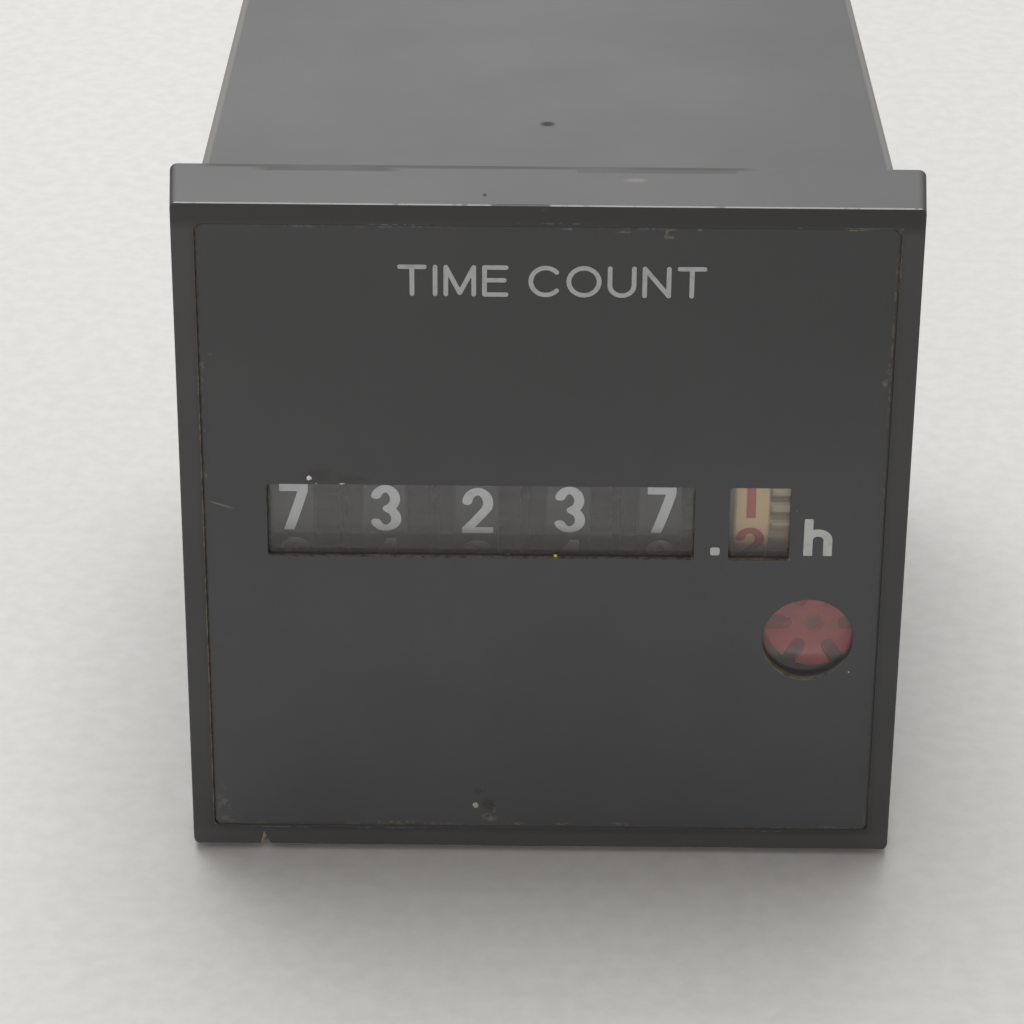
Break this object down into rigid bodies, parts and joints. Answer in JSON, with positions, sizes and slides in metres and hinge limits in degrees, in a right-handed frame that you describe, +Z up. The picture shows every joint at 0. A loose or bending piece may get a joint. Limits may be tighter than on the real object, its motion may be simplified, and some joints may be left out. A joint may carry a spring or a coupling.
{
  "type": "panel hour meter",
  "caption": "Square panel hour meter: a dark bezel with number windows and a red running indicator, over a wheel counter driven by a worm, gears and a small motor.",
  "frame": {"origin": "centre of the panel cut-out, in the plane of the bezel's rear face", "axes": "+Y from the front towards the rear, +Z up, +X to the right as seen from the front"},
  "size_m": [0.048, 0.0648, 0.048],
  "materials": {
    "case_plastic": "satin moulded",
    "plate_plastic": "fine matt",
    "clear_pane": "clear acrylic",
    "zinc_steel": "zinc plated",
    "shaft_steel": "ground",
    "brass": "rolled",
    "bobbin_plastic": "moulded",
    "copper_wire": "enamelled wire",
    "lead_sleeve": "sleeved wire",
    "magnet": "ferrite",
    "gear_plastic": "acetal",
    "indicator_red": "moulded",
    "wheel_cream": "moulded",
    "wheel_black": "moulded"
  },
  "bodies": {
    "case": {"housing": "case_plastic", "front_plate": "plate_plastic", "window_pane": "clear_pane", "rear_cover": "case_plastic", "cover_screws": "zinc_steel", "terminals": "brass", "terminal_screws": "zinc_steel", "counter_frame": "zinc_steel", "wheel_shaft": "shaft_steel", "pinion_shaft": "shaft_steel", "gear_pins": "shaft_steel", "spacers": "brass", "movement_screws": "zinc_steel", "motor_plate": "zinc_steel", "motor_cup": "zinc_steel", "coil_bobbin": "bobbin_plastic", "coil_winding": "copper_wire", "coil_leads": "lead_sleeve"},
    "rotor": {"rotor_magnet": "magnet", "rotor_hub": "gear_plastic"},
    "worm_arbor": {"worm_shaft": "shaft_steel", "worm": "gear_plastic", "worm_gear": "gear_plastic", "indicator": "indicator_red"},
    "gear_1": {"gear_1": "gear_plastic"},
    "gear_2": {"gear_2": "gear_plastic"},
    "gear_3": {"gear_3": "gear_plastic"},
    "gear_4": {"gear_4": "gear_plastic"},
    "tenths_wheel": {"tenths_wheel": "wheel_cream"},
    "number_wheel_1": {"number_wheel_1": "wheel_black"},
    "number_wheel_2": {"number_wheel_2": "wheel_black"},
    "number_wheel_3": {"number_wheel_3": "wheel_black"},
    "number_wheel_4": {"number_wheel_4": "wheel_black"},
    "number_wheel_5": {"number_wheel_5": "wheel_black"},
    "pinion_1": {"pinion_1": "gear_plastic"},
    "pinion_2": {"pinion_2": "gear_plastic"},
    "pinion_3": {"pinion_3": "gear_plastic"},
    "pinion_4": {"pinion_4": "gear_plastic"},
    "pinion_5": {"pinion_5": "gear_plastic"}
  },
  "joints": [
    {"name": "rotor_spin", "type": "hinge", "parent": "case", "child": "rotor", "pos_m": [0.00104, 0, 0.00033], "axis": [0, 1, 0], "continuous": true},
    {"name": "gear_1_spin", "type": "hinge", "parent": "case", "child": "gear_1", "pos_m": [-0.00532, 0, -0.00305], "axis": [0, 1, 0], "continuous": true},
    {"name": "gear_2_spin", "type": "hinge", "parent": "case", "child": "gear_2", "pos_m": [-0.00358, 0, -0.01003], "axis": [0, 1, 0], "continuous": true},
    {"name": "gear_3_spin", "type": "hinge", "parent": "case", "child": "gear_3", "pos_m": [0.00344, 0, -0.00841], "axis": [0, 1, 0], "continuous": true},
    {"name": "gear_4_spin", "type": "hinge", "parent": "case", "child": "gear_4", "pos_m": [0.01175, 0, -0.00724], "axis": [0, 1, 0], "continuous": true},
    {"name": "worm_spin", "type": "hinge", "parent": "case", "child": "worm_arbor", "pos_m": [0.01805, 0, -0.00724], "axis": [0, 1, 0], "continuous": true},
    {"name": "tenths_spin", "type": "hinge", "parent": "case", "child": "tenths_wheel", "pos_m": [0, 0.0037, 0.00093], "axis": [1, 0, 0], "continuous": true},
    {"name": "number_1_spin", "type": "hinge", "parent": "case", "child": "number_wheel_1", "pos_m": [0, 0.0037, 0.00093], "axis": [1, 0, 0], "continuous": true},
    {"name": "number_2_spin", "type": "hinge", "parent": "case", "child": "number_wheel_2", "pos_m": [0, 0.0037, 0.00093], "axis": [1, 0, 0], "continuous": true},
    {"name": "number_3_spin", "type": "hinge", "parent": "case", "child": "number_wheel_3", "pos_m": [0, 0.0037, 0.00093], "axis": [1, 0, 0], "continuous": true},
    {"name": "number_4_spin", "type": "hinge", "parent": "case", "child": "number_wheel_4", "pos_m": [0, 0.0037, 0.00093], "axis": [1, 0, 0], "continuous": true},
    {"name": "number_5_spin", "type": "hinge", "parent": "case", "child": "number_wheel_5", "pos_m": [0, 0.0037, 0.00093], "axis": [1, 0, 0], "continuous": true},
    {"name": "pinion_1_spin", "type": "hinge", "parent": "case", "child": "pinion_1", "pos_m": [0, 0.00914, 0.00637], "axis": [1, 0, 0], "continuous": true},
    {"name": "pinion_2_spin", "type": "hinge", "parent": "case", "child": "pinion_2", "pos_m": [0, 0.00914, 0.00637], "axis": [1, 0, 0], "continuous": true},
    {"name": "pinion_3_spin", "type": "hinge", "parent": "case", "child": "pinion_3", "pos_m": [0, 0.00914, 0.00637], "axis": [1, 0, 0], "continuous": true},
    {"name": "pinion_4_spin", "type": "hinge", "parent": "case", "child": "pinion_4", "pos_m": [0, 0.00914, 0.00637], "axis": [1, 0, 0], "continuous": true},
    {"name": "pinion_5_spin", "type": "hinge", "parent": "case", "child": "pinion_5", "pos_m": [0, 0.00914, 0.00637], "axis": [1, 0, 0], "continuous": true}
  ],
  "couplings": [
    {"joint": "gear_1_spin", "follows": "rotor_spin", "ratio": -0.2},
    {"joint": "gear_2_spin", "follows": "rotor_spin", "ratio": 0.04},
    {"joint": "gear_3_spin", "follows": "rotor_spin", "ratio": -0.008},
    {"joint": "gear_4_spin", "follows": "rotor_spin", "ratio": 0.0013333},
    {"joint": "worm_spin", "follows": "rotor_spin", "ratio": -0.0026667},
    {"joint": "tenths_spin", "follows": "rotor_spin", "ratio": 0.000083333},
    {"joint": "pinion_1_spin", "follows": "number_1_spin", "ratio": -2.5},
    {"joint": "pinion_2_spin", "follows": "number_2_spin", "ratio": -2.5},
    {"joint": "pinion_3_spin", "follows": "number_3_spin", "ratio": -2.5},
    {"joint": "pinion_4_spin", "follows": "number_4_spin", "ratio": -2.5},
    {"joint": "pinion_5_spin", "follows": "number_5_spin", "ratio": -2.5}
  ]
}
